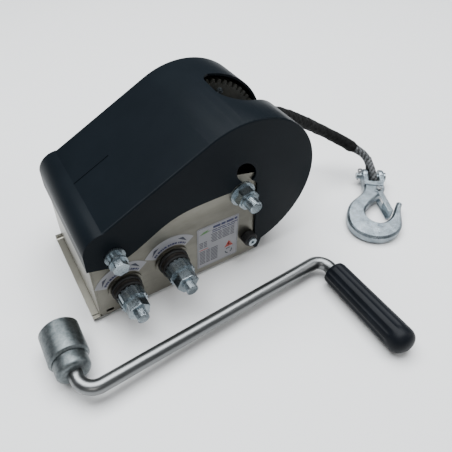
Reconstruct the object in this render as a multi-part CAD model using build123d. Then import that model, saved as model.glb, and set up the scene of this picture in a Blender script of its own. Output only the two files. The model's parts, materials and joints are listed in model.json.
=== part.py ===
"""Two-speed boat trailer winch with a plastic hood, its loose crank, and a rope tail with a clevis hook.

Millimetres. +Z is up, +X runs from the input shafts to the drum, and -Y is the crank side.
The origin is the centre of the base bolt pattern, on the underside of the frame.
"""
from build123d import *
from math import acos, asin, atan2, cos, degrees, hypot, pi, radians, sin, sqrt, tan
import os

# ---- frame channel -------------------------------------------------------------------------
PLATE_T = 4.0
FRAME_HALF_W = 67.0                 # outer face of each side plate
PLATE_LEFT, PLATE_RIGHT = -95.0, 97.0
WEB_LEFT = -102.5                   # the web stands out past the end plate
PLATE_TOP = 122.0                   # top of the low left end
CORNER_R = 19.0
BEND_R = 7.0                        # outer radius of the channel's two bends
INNER_Y = FRAME_HALF_W - PLATE_T
RUN_GAP = 0.05                      # radial clearance of a running fit
BASE_PITCH_X, BASE_PITCH_Y, BASE_HOLE_R = 110.0, 76.0, 5.25
RELIEF_X, RELIEF_Z = -83.5, 10.5    # small oblong hole beside the bend
END_PLATE_T = 2.0
END_PLATE_FOOT = 9.0

# ---- gear train ----------------------------------------------------------------------------
MODULE = 2.5
PRESSURE = radians(20.0)
ADDENDUM, DEDENDUM = 0.8, 1.04      # stub teeth, in modules
BACKLASH = 0.28                     # measured along the pitch circle, per gear
DRUM_TEETH, HIGH_TEETH, MID_TEETH, LOW_TEETH = 62, 17, 29, 14
DRUM_X, DRUM_Z = 72.0, 101.0
HIGH_DIR = radians(213.85)          # from the drum's axle to the high-speed shaft
LOW_DIR = radians(189.6)            # from the high-speed shaft to the low-speed shaft
HIGH_CENTRES = (DRUM_TEETH + HIGH_TEETH) * MODULE / 2
LOW_CENTRES = (MID_TEETH + LOW_TEETH) * MODULE / 2
HIGH_X = DRUM_X + HIGH_CENTRES * cos(HIGH_DIR)
HIGH_Z = DRUM_Z + HIGH_CENTRES * sin(HIGH_DIR)
LOW_X = HIGH_X + LOW_CENTRES * cos(LOW_DIR)
LOW_Z = HIGH_Z + LOW_CENTRES * sin(LOW_DIR)
DRUM_GEAR_Y = (24.5, 34.5)
HIGH_PINION_Y = (22.5, 36.0)
MID_GEAR_Y = (37.5, 47.5)
LOW_PINION_Y = (36.5, 48.5)

# ---- drum ----------------------------------------------------------------------------------
AXLE_R = 8.0
CORE_R, CORE_WALL = 21.0, 4.0
CORE_Y = (-58.5, 57.0)
FLANGE_R, FLANGE_T, FLANGE_Y = 64.0, 3.0, -52.0
ROPE_R = 4.5
WINDING_R = 45.0
BUSH_R = CORE_R - CORE_WALL
BUSH_FLANGE_T = 2.5
GEAR_BOLT_PCD_R = 67.5
GEAR_BOLTS = 5
GEAR_BOLT_R = 2.5

# ---- input shafts --------------------------------------------------------------------------
SHAFT_R = 8.0
BUSH_WALL = 3.0
SHAFT_END = -111.0                  # tip of each threaded end
SHAFT_BACK = 70.0
THREAD_R = 6.0

# ---- hood ----------------------------------------------------------------------------------
HOOD_R, HOOD_T = 86.0, 2.5
HOOD_HALF_W = FRAME_HALF_W + HOOD_T
HOOD_EDGE_R = 1.8
HOOD_END_DEG = -71.0
LIP_X, LIP_Z = PLATE_LEFT - HOOD_T, 82.0
HOOD_START = (PLATE_LEFT + CORNER_R + 0.3, PLATE_TOP + 0.6)
WINDOW_FAR_Y = 26.0                 # straight edge beside the drum gear
WINDOW_LOW_Z = DRUM_Z - 22.0
WINDOW_RIGHT = 175.0
SEAM_Y = 7.5

# ---- crank ---------------------------------------------------------------------------------
BAR_R = 7.0
SOCKET_X, SOCKET_R, SOCKET_Y = -138.5, 20.0, (-107.0, -70.0)
SOCKET_Z = SOCKET_R + 0.2
HUB_R, HUB_Y = 17.0, (-122.0, -107.0)
GRIP_X, GRIP_R = 143.0, 14.6
GRIP_Z = GRIP_R + 0.2
GRIP_Y = (-246.0, -143.0)
SPINDLE_R = 5.0
ARM_NEAR_Y, ARM_FAR_Y = -144.2, -123.2
ARM_BEND_NEAR, ARM_BEND_FAR = 17.0, 13.0

# ---- rope and hook -------------------------------------------------------------------------
SHEATH_R = 8.0
ROPE_ROUTE = [
    (91.0, 4.0, 154.5), (119.0, 4.5, 146.0), (148.0, 5.0, 132.5), (179.0, 7.5, 115.5),
    (209.0, 8.5, 94.5), (235.5, 8.5, 75.0), (255.5, 5.0, 60.5), (271.0, -3.0, 49.5), (283.0, -15.5, 41.0),
]
NECK_ROUTE = [
    (283.0, -15.5, 41.0), (289.8, -22.6, 36.1), (292.3, -27.9, 32.2), (292.8, -33.4, 28.0), (291.3, -38.7, 23.6),
]
PIN_AT = (289.0, -48.0, 14.2)
PIN_R = 4.0
HOOK_DIR = (-0.6, -0.8)             # level direction from the clevis pin to the bowl
HOOK_DROP = radians(4.05)            # the shank slopes down to the bowl
HOOK_T, HOOK_BEVEL = 12.0, 2.5
YOKE_END, YOKE_H, EAR_ROUND = 22.0, 14.0, 3.0
EAR_GAP, EAR_T, EAR_R = 14.0, 6.5, 9.0
EYE_GAP, EYE_T = 1.5, 7.6
EYE_RISE = radians(40.0)            # the eye rises from the pin towards the sheath
EYE_LEAN = radians(13.0)            # and leans to the sheath's side


# ---- helpers -------------------------------------------------------------------------------
def cyl_y(radius, y0, y1, x, z):
    """Round bar along Y."""
    return Pos(x, (y0 + y1) / 2, z) * Rot(90, 0, 0) * Cylinder(radius, y1 - y0)


def tube_y(outer, inner, y0, y1, x, z):
    """Round tube along Y."""
    return cyl_y(outer, y0, y1, x, z) - cyl_y(inner, y0 - 1, y1 + 1, x, z)


def hex_y(across_flats, y0, y1, x, z, turn=0.0):
    """Hexagonal bar along Y with its corners broken."""
    bar = slab_xz(Rot(0, 0, turn) * RegularPolygon(across_flats / 2, 6, major_radius=False), y0, y1, x, z)
    return bar & cyl_y(across_flats / 2 * 1.11, y0, y1, x, z)


def slab_xz(face, y0, y1, x=0.0, z=0.0):
    """Extrude a face, drawn in X and Z, from y0 to y1."""
    plane = Plane(origin=(x, y1, z), x_dir=(1, 0, 0), z_dir=(0, -1, 0))
    return extrude(plane * face, y1 - y0)


def outline(*edges):
    return make_face(Curve() + list(edges))


def polygon(points):
    return make_face(Polyline(*points, close=True))


def both_sides(part):
    """The part and its mirror image on the other side plate."""
    return [part, mirror(part, Plane.XZ)]


def group(parts):
    return Compound(children=[solid for part in parts for solid in part.solids()])


def polar(radius, angle, centre=(0.0, 0.0)):
    return (centre[0] + radius * cos(angle), centre[1] + radius * sin(angle))


def fillet_radii(points):
    """The largest gentle radius for each corner of a cord's route."""
    vectors = [Vector(*p) for p in points]
    radii = []
    for a, b, c in zip(vectors, vectors[1:], vectors[2:]):
        turn = radians((b - a).get_angle(c - b))
        radii.append(0.45 * min((b - a).length, (c - b).length) / tan(turn / 2))
    return radii


def cord_tube(points, radius):
    path = FilletPolyline(*points, radius=fillet_radii(points))
    start = Plane(origin=path @ 0, z_dir=path % 0)
    return sweep(start * Circle(radius), path=path)


# ---- gears ---------------------------------------------------------------------------------
def involute(angle):
    return tan(angle) - angle


def gear_face(teeth, first_tooth):
    """Involute outline; first_tooth is the direction of one tooth's centre line."""
    pitch_r = MODULE * teeth / 2
    base_r = pitch_r * cos(PRESSURE)
    tip_r = pitch_r + ADDENDUM * MODULE
    root_r = pitch_r - DEDENDUM * MODULE
    half_tooth = pi / (2 * teeth) - BACKLASH / (2 * pitch_r)
    low_r = max(base_r, root_r)
    steps = 5
    flank = [(root_r, half_tooth + involute(PRESSURE) - involute(acos(min(1.0, base_r / low_r))))]
    for i in range(steps):
        r = low_r + (tip_r - low_r) * i / (steps - 1)
        flank.append((r, half_tooth + involute(PRESSURE) - involute(acos(min(1.0, base_r / r)))))
    if flank[1][0] - root_r < 1e-6:
        flank = flank[1:]
    points = []
    for k in range(teeth):
        centre = first_tooth + 2 * pi * k / teeth
        points += [polar(r, centre - half) for r, half in flank]
        points += [polar(r, centre + half) for r, half in reversed(flank)]
    return polygon(points)


def gear(teeth, first_tooth, span, x, z, bore_r):
    return slab_xz(gear_face(teeth, first_tooth) - Circle(bore_r), *span, x, z)


# ---- frame ---------------------------------------------------------------------------------
def side_plate_face():
    shoulder = (DRUM_X - 8, DRUM_Z + 27)
    return outline(
        Line((PLATE_LEFT + END_PLATE_T, BEND_R), (PLATE_LEFT + END_PLATE_T, PLATE_TOP - CORNER_R)),
        RadiusArc((PLATE_LEFT + END_PLATE_T, PLATE_TOP - CORNER_R),
                  (PLATE_LEFT + CORNER_R, PLATE_TOP - END_PLATE_T), CORNER_R - END_PLATE_T),
        Line((PLATE_LEFT + CORNER_R, PLATE_TOP - END_PLATE_T), shoulder),
        Line(shoulder, (PLATE_RIGHT - 5, DRUM_Z + 20)),
        Line((PLATE_RIGHT - 5, DRUM_Z + 20), (PLATE_RIGHT, BEND_R)),
        Line((PLATE_RIGHT, BEND_R), (PLATE_LEFT + END_PLATE_T, BEND_R)),
    )


def frame_channel():
    """U channel: a web, two bends and two side plates with their bearing holes."""
    inner_r = BEND_R - PLATE_T
    half = FRAME_HALF_W
    section = outline(
        Line((-half, BEND_R + 1), (-half, BEND_R)),
        RadiusArc((-half, BEND_R), (-half + BEND_R, 0), -BEND_R),
        Line((-half + BEND_R, 0), (half - BEND_R, 0)),
        RadiusArc((half - BEND_R, 0), (half, BEND_R), -BEND_R),
        Line((half, BEND_R), (half, BEND_R + 1)),
        Line((half, BEND_R + 1), (half - PLATE_T, BEND_R + 1)),
        Line((half - PLATE_T, BEND_R + 1), (half - PLATE_T, BEND_R)),
        RadiusArc((half - PLATE_T, BEND_R), (half - BEND_R, PLATE_T), inner_r),
        Line((half - BEND_R, PLATE_T), (-half + BEND_R, PLATE_T)),
        RadiusArc((-half + BEND_R, PLATE_T), (-half + PLATE_T, BEND_R), inner_r),
        Line((-half + PLATE_T, BEND_R), (-half + PLATE_T, BEND_R + 1)),
        Line((-half + PLATE_T, BEND_R + 1), (-half, BEND_R + 1)),
    )
    trough = extrude(Plane(origin=(WEB_LEFT, 0, 0), x_dir=(0, 1, 0), z_dir=(1, 0, 0)) * section,
                     PLATE_RIGHT - WEB_LEFT)
    relief = Pos(WEB_LEFT, 0, BEND_R + 1) * Box(2 * (PLATE_LEFT + END_PLATE_T - WEB_LEFT), 2 * half + 2, 4)
    frame = trough - relief
    for y0 in (-half, INNER_Y):
        frame += slab_xz(side_plate_face(), y0, y0 + PLATE_T)
    holes = [(LOW_X, LOW_Z, SHAFT_R + BUSH_WALL), (HIGH_X, HIGH_Z, SHAFT_R + BUSH_WALL),
             (DRUM_X, DRUM_Z, AXLE_R + RUN_GAP), (*COVER_BOLT_AT, COVER_SCREW_R), (*COLLAR_AT, COVER_SCREW_R)]
    for x, z, r in holes:
        frame -= cyl_y(r, -half - 1, half + 1, x, z)
    frame -= cyl_y(PAWL_PIN_R, -INNER_Y - PIN_DEPTH, -INNER_Y + 1, *PAWL_PIN_AT)
    frame -= slab_xz(Rectangle(8.0, 3.6), -half - 1, -INNER_Y + 1, RELIEF_X, RELIEF_Z)
    for sx in (-1, 1):
        for sy in (-1, 1):
            frame -= Pos(sx * BASE_PITCH_X / 2, sy * BASE_PITCH_Y / 2, PLATE_T / 2) \
                * Cylinder(BASE_HOLE_R, 3 * PLATE_T)
    return frame


def end_plate():
    """Sheet that closes the low end and follows the side plates' round corners."""
    x0, x1 = PLATE_LEFT, PLATE_LEFT + END_PLATE_T
    bend_z = PLATE_TOP - CORNER_R
    inner_r = CORNER_R - END_PLATE_T
    face = outline(
        Line((x0, END_PLATE_FOOT), (x0, bend_z)),
        RadiusArc((x0, bend_z), (x0 + CORNER_R, PLATE_TOP), CORNER_R),
        Line((x0 + CORNER_R, PLATE_TOP), (x0 + CORNER_R, PLATE_TOP - END_PLATE_T)),
        RadiusArc((x0 + CORNER_R, PLATE_TOP - END_PLATE_T), (x1, bend_z), -inner_r),
        Line((x1, bend_z), (x1, END_PLATE_FOOT)),
        Line((x1, END_PLATE_FOOT), (x0, END_PLATE_FOOT)),
    )
    return slab_xz(face, -FRAME_HALF_W, FRAME_HALF_W)


# ---- hood ----------------------------------------------------------------------------------
COVER_BOLT_AT = (-69.0, 89.0)
COLLAR_AT = (82.3, 32.5)
COVER_SCREW_R = 3.0


def tangent_angle(radius):
    """Direction, from the drum's axis, of the point where the hood's flat top meets its round end."""
    dx, dz = HOOD_START[0] - DRUM_X, HOOD_START[1] - DRUM_Z
    return atan2(dz, dx) - acos(radius / hypot(dx, dz))


def hood_profile(inset):
    """Outer teardrop line, moved inwards by inset: start, tangent point, far end and arc middle."""
    centre = (DRUM_X, DRUM_Z)
    top = tangent_angle(HOOD_R)
    end = radians(HOOD_END_DEG)
    radius = HOOD_R - inset
    start = (HOOD_START[0] - inset * cos(top), HOOD_START[1] - inset * sin(top))
    return start, polar(radius, top, centre), polar(radius, (top + end) / 2, centre), polar(radius, end, centre)


def hood_wrap():
    start, touch, middle, end = hood_profile(0)
    start_in, touch_in, middle_in, end_in = hood_profile(HOOD_T)
    band = outline(
        Line(start, touch), ThreePointArc(touch, middle, end), Line(end, end_in),
        ThreePointArc(end_in, middle_in, touch_in), Line(touch_in, start_in), Line(start_in, start))
    return slab_xz(band, -HOOD_HALF_W, HOOD_HALF_W)


def hood_lip():
    """End wall that wraps over the low end's round corner and stops half way down."""
    start, _, _, _ = hood_profile(0)
    start_in, _, _, _ = hood_profile(HOOD_T)
    bend_z = PLATE_TOP - CORNER_R
    share = (start[1] - PLATE_TOP) / (start[1] - start_in[1])
    foot = (start[0] + share * (start_in[0] - start[0]), PLATE_TOP)
    lip = outline(
        RadiusArc((LIP_X, bend_z), start, CORNER_R + HOOD_T),
        Line(start, foot), Line(foot, (PLATE_LEFT + CORNER_R, PLATE_TOP)),
        RadiusArc((PLATE_LEFT + CORNER_R, PLATE_TOP), (PLATE_LEFT, bend_z), -CORNER_R),
        Line((PLATE_LEFT, bend_z), (PLATE_LEFT, LIP_Z)), Line((PLATE_LEFT, LIP_Z), (LIP_X, LIP_Z)),
        Line((LIP_X, LIP_Z), (LIP_X, bend_z)))
    return slab_xz(lip, -HOOD_HALF_W, HOOD_HALF_W)


def hood_side_face():
    """Side panel: the teardrop, cut away below to bare the steel plate."""
    start, touch, middle, end = hood_profile(0)
    notch_r = 17.5
    notch_a, notch_b = radians(148), radians(22)
    bend_z = PLATE_TOP - CORNER_R
    low_left = (LIP_X, LIP_Z)
    return outline(
        Line(start, touch), ThreePointArc(touch, middle, end),
        Line(end, (96.5, 8.5)), Line((96.5, 8.5), (93.0, 8.5)),
        Line((93.0, 8.5), (90.5, 44.0)),
        Line((90.5, 44.0), polar(notch_r, notch_b, (DRUM_X, DRUM_Z))),
        ThreePointArc(polar(notch_r, notch_b, (DRUM_X, DRUM_Z)), (DRUM_X, DRUM_Z + notch_r),
                      polar(notch_r, notch_a, (DRUM_X, DRUM_Z))),
        Spline(polar(notch_r, notch_a, (DRUM_X, DRUM_Z)), (30.0, 110.5), (-6.0, 106.0), (-58.0, 79.5),
               (-76.0, 75.5)),
        Line((-76.0, 75.5), low_left),
        Line(low_left, (LIP_X, bend_z)),
        RadiusArc((LIP_X, bend_z), start, CORNER_R + HOOD_T),
    )


def rope_window():
    """Arched opening over the drum: wide at its top, narrowing to the rope on its way down."""
    left_end = (86.0, WINDOW_FAR_Y)
    near_end = (WINDOW_RIGHT, -12.0)
    arch = outline(
        Spline(left_end, (77.5, 19.0), (75.5, 4.0), (75.0, -12.0), (81.0, -26.0), (93.0, -34.5), (111.0, -31.0),
               (129.0, -24.5), near_end),
        Line(near_end, (WINDOW_RIGHT, WINDOW_FAR_Y)), Line((WINDOW_RIGHT, WINDOW_FAR_Y), left_end))
    return Pos(0, 0, WINDOW_LOW_Z) * extrude(arch, 2 * HOOD_R)


def seam():
    """Low moulding line along the flat top."""
    start, touch, _, _ = hood_profile(-0.25)
    slope = atan2(touch[1] - start[1], touch[0] - start[0])
    length = 44.0
    mid = (start[0] + length / 2 * cos(slope), start[1] + length / 2 * sin(slope))
    return Pos(mid[0], SEAM_Y, mid[1]) * Rot(0, -degrees(slope), 0) * Box(length, 0.8, 0.9)


def hood():
    body = hood_wrap() + hood_lip()
    for y0 in (-HOOD_HALF_W, FRAME_HALF_W):
        body += slab_xz(hood_side_face(), y0, y0 + HOOD_T)
    body -= rope_window()
    rims = [e for e in body.edges()
            if abs(abs(e.center().Y) - HOOD_HALF_W) < 0.01 and e.bounding_box().size.Y < 0.01
            and on_outline(e)]
    body = fillet(rims, HOOD_EDGE_R)
    oval = Pos(74.0, 128.0) * Rot(0, 0, -56) * Ellipse(14.5, 9.5)
    body -= slab_xz(oval, -HOOD_HALF_W - 1, -FRAME_HALF_W + 0.5)
    for x, z in (COVER_BOLT_AT, COLLAR_AT):
        body -= cyl_y(COVER_SCREW_R, -HOOD_HALF_W - 1, HOOD_HALF_W + 1, x, z)
    return body + seam()


def on_outline(edge):
    """True for an edge on the hood's flat top or round end."""
    start, touch, _, _ = hood_profile(0)
    mid = edge.position_at(0.5)
    if abs(hypot(mid.X - DRUM_X, mid.Z - DRUM_Z) - HOOD_R) < 0.05:
        return True
    across = (touch[0] - start[0]) * (mid.Z - start[1]) - (touch[1] - start[1]) * (mid.X - start[0])
    return abs(across) / hypot(touch[0] - start[0], touch[1] - start[1]) < 0.05


def cover_bolts():
    """Flanged hex bolts on round standoffs that hold the hood's low end."""
    x, z = COVER_BOLT_AT
    face = -HOOD_HALF_W
    bolt = cyl_y(10.5, face - 2.0, face, x, z)
    bolt += cyl_y(6.5, face - 9.0, face - 2.0, x, z)
    bolt += cyl_y(9.5, face - 10.6, face - 9.0, x, z)
    bolt += hex_y(14.0, face - 18.0, face - 10.6, x, z, 12)
    bolt += cyl_y(COVER_SCREW_R, face, -INNER_Y + 6, x, z)
    return group(both_sides(bolt))


def cover_nuts():
    parts = []
    for x, z in (COVER_BOLT_AT, COLLAR_AT):
        nut = hex_y(10.0, -INNER_Y, -INNER_Y + 5.0, x, z) - cyl_y(COVER_SCREW_R, -INNER_Y - 1, 0, x, z)
        parts += both_sides(nut)
    return group(parts)


def cover_collars():
    """Round rubber collars at the low right corner, one on each side."""
    x, z = COLLAR_AT
    face = -FRAME_HALF_W
    collar = tube_y(8.0, COVER_SCREW_R, face - 9.0, face, x, z)
    rims = collar.edges().filter_by(GeomType.CIRCLE).filter_by(lambda e: e.radius > 7)
    return group(both_sides(fillet(rims, 1.2)))


def cover_screws():
    x, z = COLLAR_AT
    face = -FRAME_HALF_W - 9.0
    screw = cyl_y(5.0, face - 2.6, face, x, z) + cyl_y(COVER_SCREW_R, face, -INNER_Y + 6, x, z)
    screw -= slab_xz(RegularPolygon(2.1, 6), face - 3, face - 1.0, x, z)
    return group(both_sides(screw))


# ---- drum ----------------------------------------------------------------------------------
def drum_core():
    return tube_y(CORE_R, BUSH_R, *CORE_Y, DRUM_X, DRUM_Z)


def drum_flange():
    return tube_y(FLANGE_R, CORE_R, FLANGE_Y, FLANGE_Y + FLANGE_T, DRUM_X, DRUM_Z)


def gear_bolt_holes(radius, y0, y1):
    spots = [polar(GEAR_BOLT_PCD_R, radians(66 + 360 * k / GEAR_BOLTS), (DRUM_X, DRUM_Z))
             for k in range(GEAR_BOLTS)]
    return [cyl_y(radius, y0, y1, x, z) for x, z in spots]


def drum_gear():
    wheel = gear(DRUM_TEETH, HIGH_DIR, DRUM_GEAR_Y, DRUM_X, DRUM_Z, CORE_R)
    for hole in gear_bolt_holes(GEAR_BOLT_R, DRUM_GEAR_Y[0] - 1, DRUM_GEAR_Y[1] + 1):
        wheel -= hole
    return wheel


def gear_bolts():
    """Round-headed bolts through the drum gear."""
    y0, y1 = DRUM_GEAR_Y
    parts = []
    for shank, head, tail in zip(gear_bolt_holes(GEAR_BOLT_R, y0, y1), gear_bolt_holes(4.0, y0 - 1.8, y0),
                                 gear_bolt_holes(4.0, y1, y1 + 1.4)):
        parts.append(shank + head + tail)
    return group(parts)


def drum_bushes():
    """Flanged bronze bushes pressed into the ends of the drum's core."""
    length = 16.0
    parts = []
    for inner, outer in ((CORE_Y[0] + length, CORE_Y[0]), (CORE_Y[1] - length, CORE_Y[1])):
        side = 1 if outer > inner else -1
        sleeve = tube_y(BUSH_R, AXLE_R + RUN_GAP, min(inner, outer), max(inner, outer), DRUM_X, DRUM_Z)
        lip = (outer, outer + side * BUSH_FLANGE_T)
        sleeve += tube_y(BUSH_R + 3, AXLE_R + RUN_GAP, min(lip), max(lip), DRUM_X, DRUM_Z)
        parts.append(sleeve)
    return group(parts)


def rope_winding():
    """The outer layer of rope on the drum, as one ribbed reel."""
    y0, y1 = FLANGE_Y + FLANGE_T, DRUM_GEAR_Y[0] - 3.0
    turns = round((y1 - y0) / (2 * ROPE_R))
    pitch = (y1 - y0) / turns
    low, high = WINDING_R - ROPE_R * 0.55, WINDING_R
    edges = [Line((CORE_R, y0), (low, y0))]
    for k in range(turns):
        a = y0 + k * pitch
        edges.append(ThreePointArc((low, a), (high, a + pitch / 2), (low, a + pitch)))
    edges += [Line((low, y1), (CORE_R, y1)), Line((CORE_R, y1), (CORE_R, y0))]
    return Pos(DRUM_X, 0, DRUM_Z) * revolve(outline(*edges), Axis.Y)


AXLE_NUT_Y = (-79.5, -69.0)
AXLE_THREAD_R, AXLE_END = 6.8, -92.5


def drum_axle():
    """Headed axle bolt with a threaded front end."""
    shaft = cyl_y(AXLE_R, AXLE_NUT_Y[1], FRAME_HALF_W + 2, DRUM_X, DRUM_Z)
    shaft += cyl_y(AXLE_THREAD_R, AXLE_END, AXLE_NUT_Y[1], DRUM_X, DRUM_Z)
    shaft += hex_y(22.0, FRAME_HALF_W + 2, FRAME_HALF_W + 12, DRUM_X, DRUM_Z)
    tip = shaft.edges().filter_by(GeomType.CIRCLE).sort_by(Axis.Y)[0]
    return chamfer(tip, 1.0)


def drum_axle_nut():
    low, high = AXLE_NUT_Y
    nut = hex_y(21.0, low, high, DRUM_X, DRUM_Z, 8)
    nut += cyl_y(9.4, low - 2.2, low, DRUM_X, DRUM_Z)
    return nut - cyl_y(AXLE_THREAD_R, AXLE_END, high + 1, DRUM_X, DRUM_Z)


def drum_axle_washers():
    front = tube_y(14.0, AXLE_R, -FRAME_HALF_W - 2.0, -FRAME_HALF_W, DRUM_X, DRUM_Z)
    rear = tube_y(14.0, AXLE_R, FRAME_HALF_W, FRAME_HALF_W + 2.0, DRUM_X, DRUM_Z)
    return group([front, rear])


# ---- input shafts --------------------------------------------------------------------------
SHAFTS = {"high": (HIGH_X, HIGH_Z), "low": (LOW_X, LOW_Z)}
RING_FACE = -FRAME_HALF_W - 2.0     # outer face of the bush flange
COLLAR_Y = (-90.0, RING_FACE - 10.0)
NUT_Y = (-102.0, -91.5)
COLLAR_R, SPLINE_TEETH, SPLINE_DEPTH = 14.0, 16, 1.1


def shaft_bushes():
    """Flanged bearing bushes pressed into the side plates."""
    parts = []
    for x, z in SHAFTS.values():
        front = tube_y(SHAFT_R + BUSH_WALL, SHAFT_R + RUN_GAP, -FRAME_HALF_W, -INNER_Y, x, z)
        front += tube_y(19.0, SHAFT_R + RUN_GAP, RING_FACE, -FRAME_HALF_W, x, z)
        rear = tube_y(SHAFT_R + BUSH_WALL, SHAFT_R + RUN_GAP, INNER_Y, FRAME_HALF_W, x, z)
        rear += tube_y(15.0, SHAFT_R + RUN_GAP, INNER_Y - 1.5, INNER_Y, x, z)
        parts += [front, rear]
    return group(parts)


def rounded_ring(outer, inner, y0, y1, x, z, radius):
    ring = tube_y(outer, inner, y0, y1, x, z)
    rims = ring.edges().filter_by(GeomType.CIRCLE).filter_by(lambda e: e.radius > inner + 1)
    return fillet(rims, radius)


def shaft_seals():
    """Black rubber rings on each shaft, either side of a bronze thrust ring."""
    parts = []
    for x, z in SHAFTS.values():
        parts.append(rounded_ring(16.5, SHAFT_R + RUN_GAP, RING_FACE - 3.2, RING_FACE, x, z, 1.2))
        parts.append(rounded_ring(15.5, SHAFT_R + RUN_GAP, RING_FACE - 9.4, RING_FACE - 6.2, x, z, 1.2))
    return group(parts)


def thrust_rings():
    parts = [tube_y(15.2, SHAFT_R + RUN_GAP, RING_FACE - 6.2, RING_FACE - 3.2, x, z)
             for x, z in SHAFTS.values()]
    return group(parts)


def input_shaft(x, z):
    """Turned shaft: journals, a stepped threaded end, and a groove for its rear clip."""
    shaft = cyl_y(SHAFT_R, NUT_Y[1], SHAFT_BACK, x, z)
    shaft += cyl_y(THREAD_R, SHAFT_END, NUT_Y[1], x, z)
    tip = shaft.edges().filter_by(GeomType.CIRCLE).sort_by(Axis.Y)[0]
    shaft = chamfer(tip, 1.0)
    return shaft - tube_y(SHAFT_R + 1, SHAFT_R - 0.8, SHAFT_BACK - 2.6, SHAFT_BACK - 1.4, x, z)


def shaft_clip(x, z):
    return tube_y(SHAFT_R + 3.0, SHAFT_R - 0.8, SHAFT_BACK - 2.6, SHAFT_BACK - 1.4, x, z)


def spline_face(outer, depth, count):
    """Round outline with square-cut notches."""
    face = Circle(outer)
    for k in range(count):
        angle = 360 * k / count
        notch = Rectangle(2 * depth, pi * outer / count)
        face -= Rot(0, 0, angle) * Pos(outer, 0) * notch
    return face


def drive_collar(x, z):
    """Splined collar that the crank's socket slides over."""
    face = spline_face(COLLAR_R, SPLINE_DEPTH, SPLINE_TEETH)
    collar = slab_xz(face, *COLLAR_Y, x, z)
    collar -= cyl_y(SHAFT_R, COLLAR_Y[0] - 1, COLLAR_Y[1] + 1, x, z)
    return collar + tube_y(12.0, SHAFT_R, COLLAR_Y[0] - 1.5, COLLAR_Y[0], x, z)


def shaft_nut(x, z, turn):
    nut = hex_y(21.0, *NUT_Y, x, z, turn)
    return nut - cyl_y(THREAD_R, NUT_Y[0] - 1, NUT_Y[1] + 1, x, z)


# ---- brake on the high-speed shaft ---------------------------------------------------------
RATCHET_TEETH, RATCHET_R, RATCHET_DEPTH = 12, 27.0, 4.5
RATCHET_Y = (-47.0, -41.0)
DISC_T = 3.0
PAWL_PIN_R = 4.0
PAWL_PIN_AT = (HIGH_X - 14.0, HIGH_Z + 41.0)
PAWL_GAP = 0.8
PIN_DEPTH = 2.0                     # blind depth of the pawl's pin in the side plate


def ratchet_wheel():
    points = []
    for k in range(RATCHET_TEETH):
        a = 2 * pi * k / RATCHET_TEETH
        points.append(polar(RATCHET_R, a))
        points.append(polar(RATCHET_R - RATCHET_DEPTH, a + 0.06))
    face = polygon(points) - Circle(SHAFT_R)
    return slab_xz(face, *RATCHET_Y, HIGH_X, HIGH_Z)


def friction_discs():
    return group([tube_y(21.0, SHAFT_R, y, y + DISC_T, HIGH_X, HIGH_Z)
                  for y in (RATCHET_Y[0] - DISC_T, RATCHET_Y[1])])


def pressure_hubs():
    """Steel hubs that clamp the friction discs against the ratchet wheel."""
    front = tube_y(20.0, SHAFT_R, RATCHET_Y[0] - DISC_T - 5, RATCHET_Y[0] - DISC_T, HIGH_X, HIGH_Z)
    rear = tube_y(20.0, SHAFT_R, RATCHET_Y[1] + DISC_T, RATCHET_Y[1] + DISC_T + 5, HIGH_X, HIGH_Z)
    rear += tube_y(13.0, SHAFT_R, RATCHET_Y[1] + DISC_T + 5, RATCHET_Y[1] + DISC_T + 14, HIGH_X, HIGH_Z)
    return group([front, rear])


def pawl():
    """Pawl whose nose rests just clear of the ratchet's teeth."""
    px, pz = PAWL_PIN_AT
    reach = RATCHET_R + PAWL_GAP
    nose = polar(reach, radians(128), (HIGH_X, HIGH_Z))
    heel = polar(reach + 6, radians(128), (HIGH_X, HIGH_Z))
    arm = polygon([(px - 6.5, pz + 1.5), (px - 3.5, pz - 5.5), nose, heel])
    face = Circle(7.5)
    body = slab_xz(face, *RATCHET_Y, px, pz) + slab_xz(arm, *RATCHET_Y)
    body -= cyl_y(reach, RATCHET_Y[0] - 1, RATCHET_Y[1] + 1, HIGH_X, HIGH_Z)
    return body - cyl_y(PAWL_PIN_R + RUN_GAP, RATCHET_Y[0] - 1, RATCHET_Y[1] + 1, px, pz)


def pawl_pin():
    px, pz = PAWL_PIN_AT
    pin = cyl_y(PAWL_PIN_R, -INNER_Y - PIN_DEPTH, RATCHET_Y[1] + 3.0, px, pz)
    pin += tube_y(PAWL_PIN_R + 3, PAWL_PIN_R, RATCHET_Y[1] + 0.5, RATCHET_Y[1] + 2.0, px, pz)
    return pin


def pawl_spring():
    """Torsion spring on the pawl's pin, between the side plate and the pawl."""
    px, pz = PAWL_PIN_AT
    wire, turns_r, pitch, height = 0.7, 5.6, 2.2, 11.0
    coil = Helix(pitch, height, turns_r)
    profile = Plane(origin=coil @ 0, z_dir=coil % 0) * Circle(wire)
    body = sweep(profile, path=coil, is_frenet=True)
    return Pos(px, RATCHET_Y[0] - 2.0, pz) * Rot(90, 0, 0) * body


# ---- labels --------------------------------------------------------------------------------
LABEL_T = 0.3


def rating_label():
    """Rectangular sticker on the front side plate."""
    sheet = Pos(44.5, 43.0) * RectangleRounded(50.0, 62.0, 1.5)
    return slab_xz(sheet, -FRAME_HALF_W - LABEL_T, -FRAME_HALF_W)


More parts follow.
